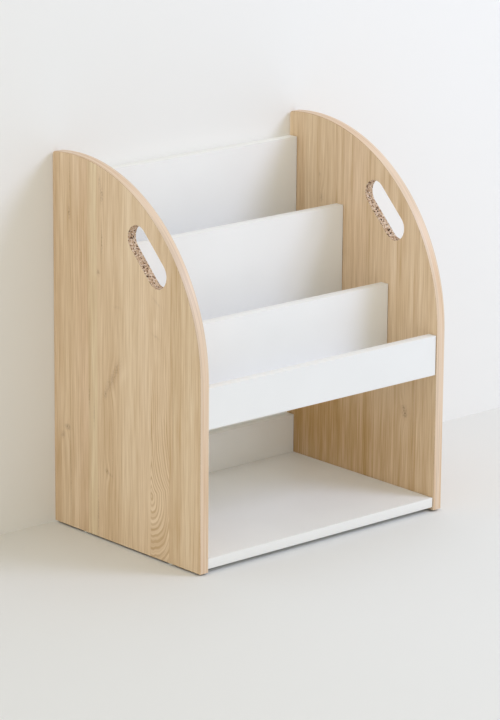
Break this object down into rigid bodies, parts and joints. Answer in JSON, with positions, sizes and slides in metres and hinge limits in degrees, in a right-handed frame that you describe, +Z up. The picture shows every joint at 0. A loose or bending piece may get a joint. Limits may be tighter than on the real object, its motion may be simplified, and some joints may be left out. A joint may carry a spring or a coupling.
{
  "type": "stepped bookshelf",
  "caption": "Free-standing stepped bookshelf: two curved woodgrain sides with handle slots carry white boards that form rising book tiers over an open compartment.",
  "frame": {"origin": "centre of the footprint on the floor, under the glides", "axes": "+Z up, +X along the width to the right as seen from the front, -Y out of the open front"},
  "size_m": [0.48, 0.332, 0.569],
  "materials": {
    "woodgrain_board": "printed light ash grain foil on particleboard, satin",
    "woodgrain_edge_strip": "printed plain light wood edge strip, satin",
    "white_board": "white melamine faced particleboard, satin",
    "white_edge_strip": "white edge strip, satin",
    "plated_steel": "zinc plated",
    "die_cast_zinc": "as cast",
    "beech": "raw fluted beech",
    "milky_plastic": "natural polyethylene"
  },
  "bodies": {
    "root": {"side_left": "woodgrain_board", "side_right": "woodgrain_board", "side_left_edge_strip": "woodgrain_edge_strip", "side_right_edge_strip": "woodgrain_edge_strip", "base_shelf": "white_board", "base_shelf_edge_strip": "white_edge_strip", "lower_back_rail": "white_board", "lower_back_rail_edge_strip": "white_edge_strip", "front_rail": "white_board", "front_rail_edge_strips": "white_edge_strip", "front_floor": "white_board", "front_divider": "white_board", "front_divider_edge_strip": "white_edge_strip", "middle_floor": "white_board", "rear_divider": "white_board", "rear_divider_edge_strip": "white_edge_strip", "rear_floor": "white_board", "back_panel": "white_board", "back_panel_edge_strip": "white_edge_strip", "cam_bolts": "plated_steel", "cam_discs": "die_cast_zinc", "wooden_dowels": "beech", "glides": "milky_plastic", "glide_nails": "plated_steel"}
  },
  "joints": []
}
